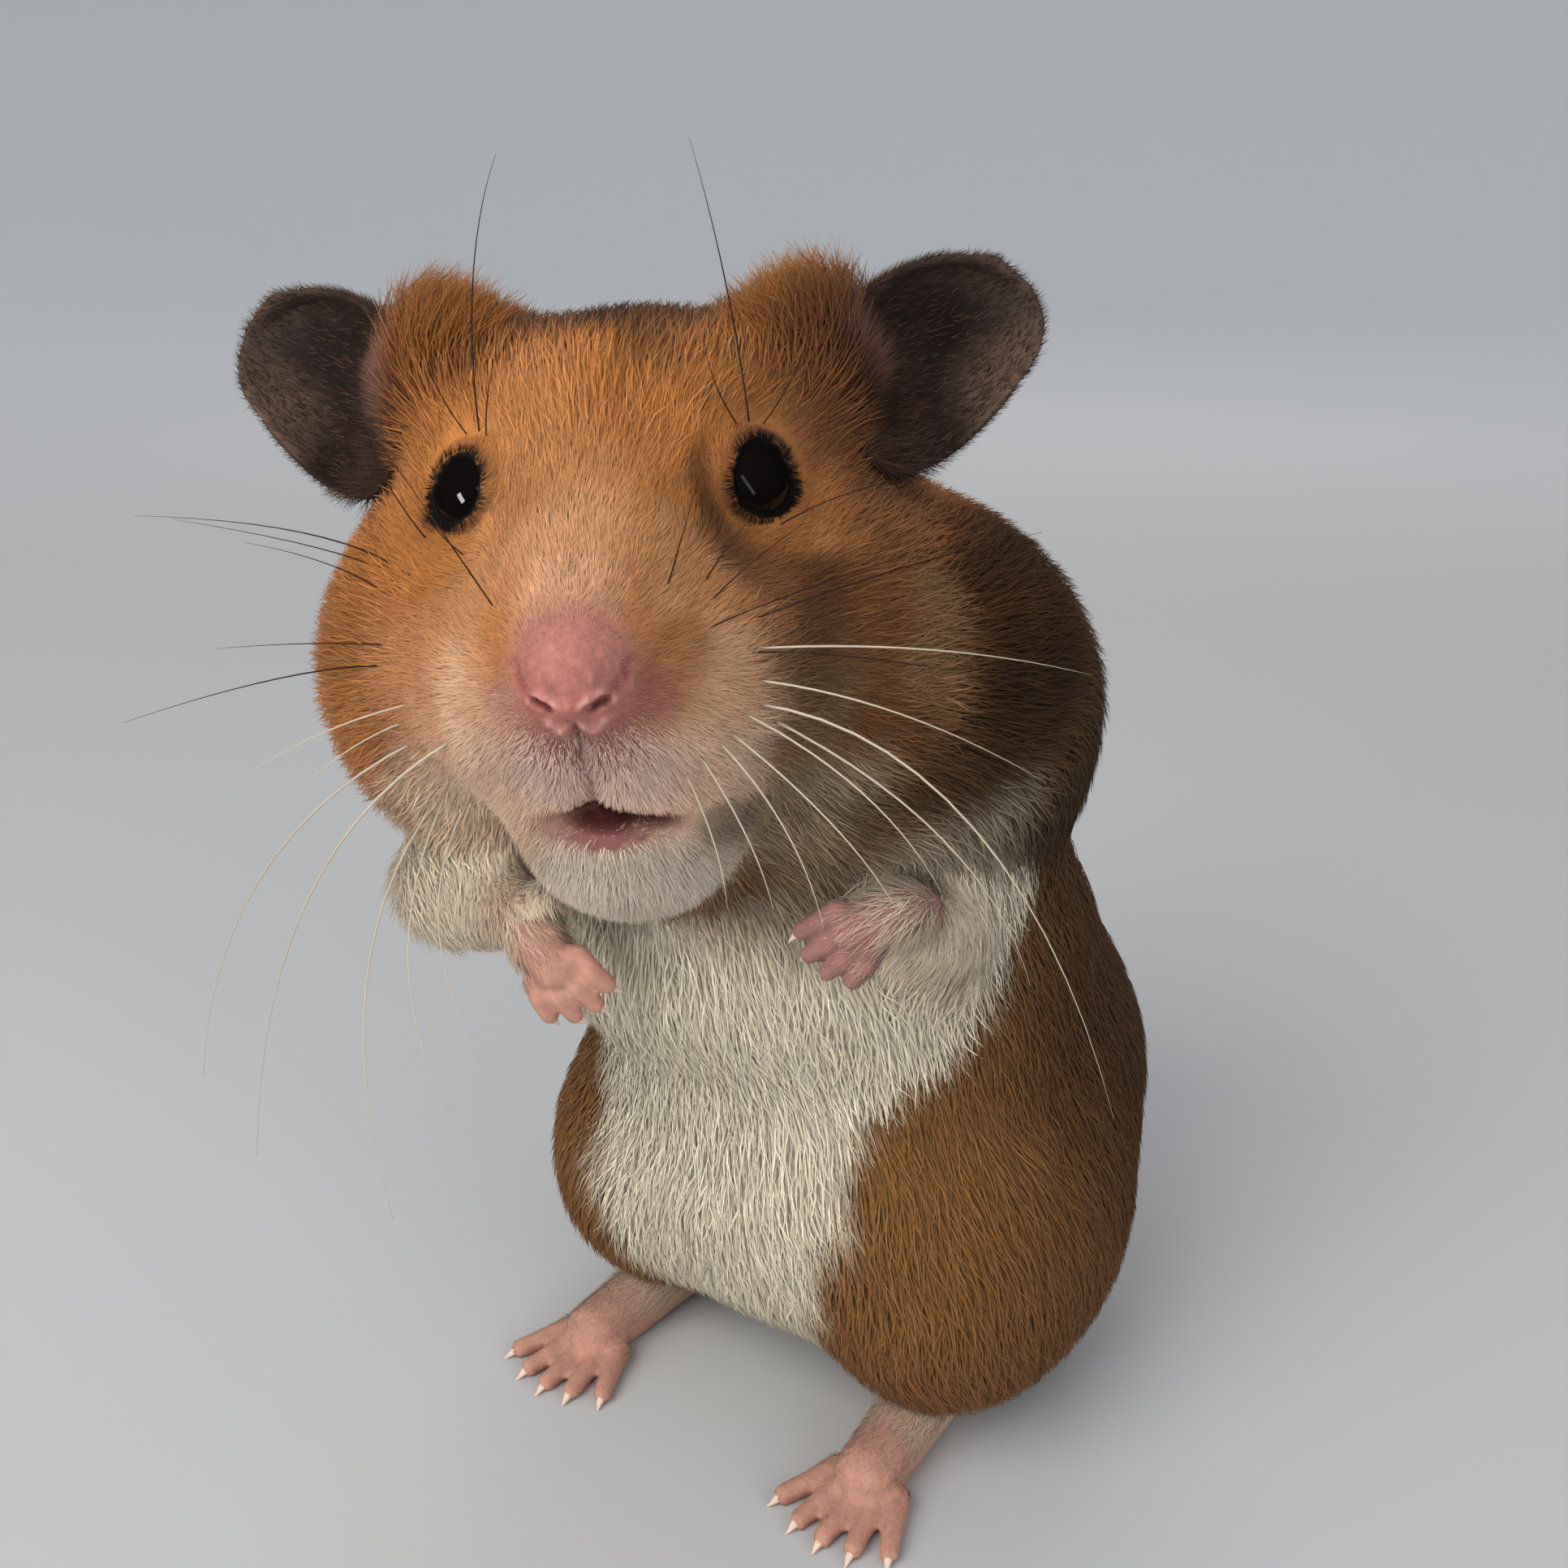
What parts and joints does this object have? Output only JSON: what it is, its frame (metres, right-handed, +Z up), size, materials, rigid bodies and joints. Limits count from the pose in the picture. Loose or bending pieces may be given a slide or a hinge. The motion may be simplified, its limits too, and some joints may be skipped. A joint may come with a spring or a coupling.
{
  "type": "syrian hamster",
  "caption": "Syrian hamster sitting up on its haunches, head turned to its left and forepaws held at its chest, as a still museum model.",
  "frame": {"origin": "centre of the bounding box at floor level", "axes": "+Z up, -Y the way the hips face, +X to the animal's left"},
  "size_m": [0.0662, 0.0756, 0.0952],
  "materials": {
    "head": "short orange-brown fur",
    "lower_jaw": "short cream fur",
    "nose": "moist bare pink skin",
    "ear": "thin dark skin with sparse short hair",
    "eye": "wet black",
    "neck": "dark brown fur",
    "trunk": "golden brown fur above, white below",
    "tail": "pink skin with sparse white hair",
    "foreleg": "short white fur",
    "paw": "pink skin with fine white hair",
    "thigh": "golden brown fur"
  },
  "bodies": {
    "root": {"head": "head", "lower_jaw": "lower_jaw", "nose": "nose", "ear_left": "ear", "ear_right": "ear", "eye_left": "eye", "eye_right": "eye", "neck": "neck", "trunk": "trunk", "tail": "tail", "foreleg_left": "foreleg", "foreleg_right": "foreleg", "forepaw_left": "paw", "forepaw_right": "paw", "thigh_left": "thigh", "thigh_right": "thigh", "hindfoot_left": "paw", "hindfoot_right": "paw"}
  },
  "joints": []
}
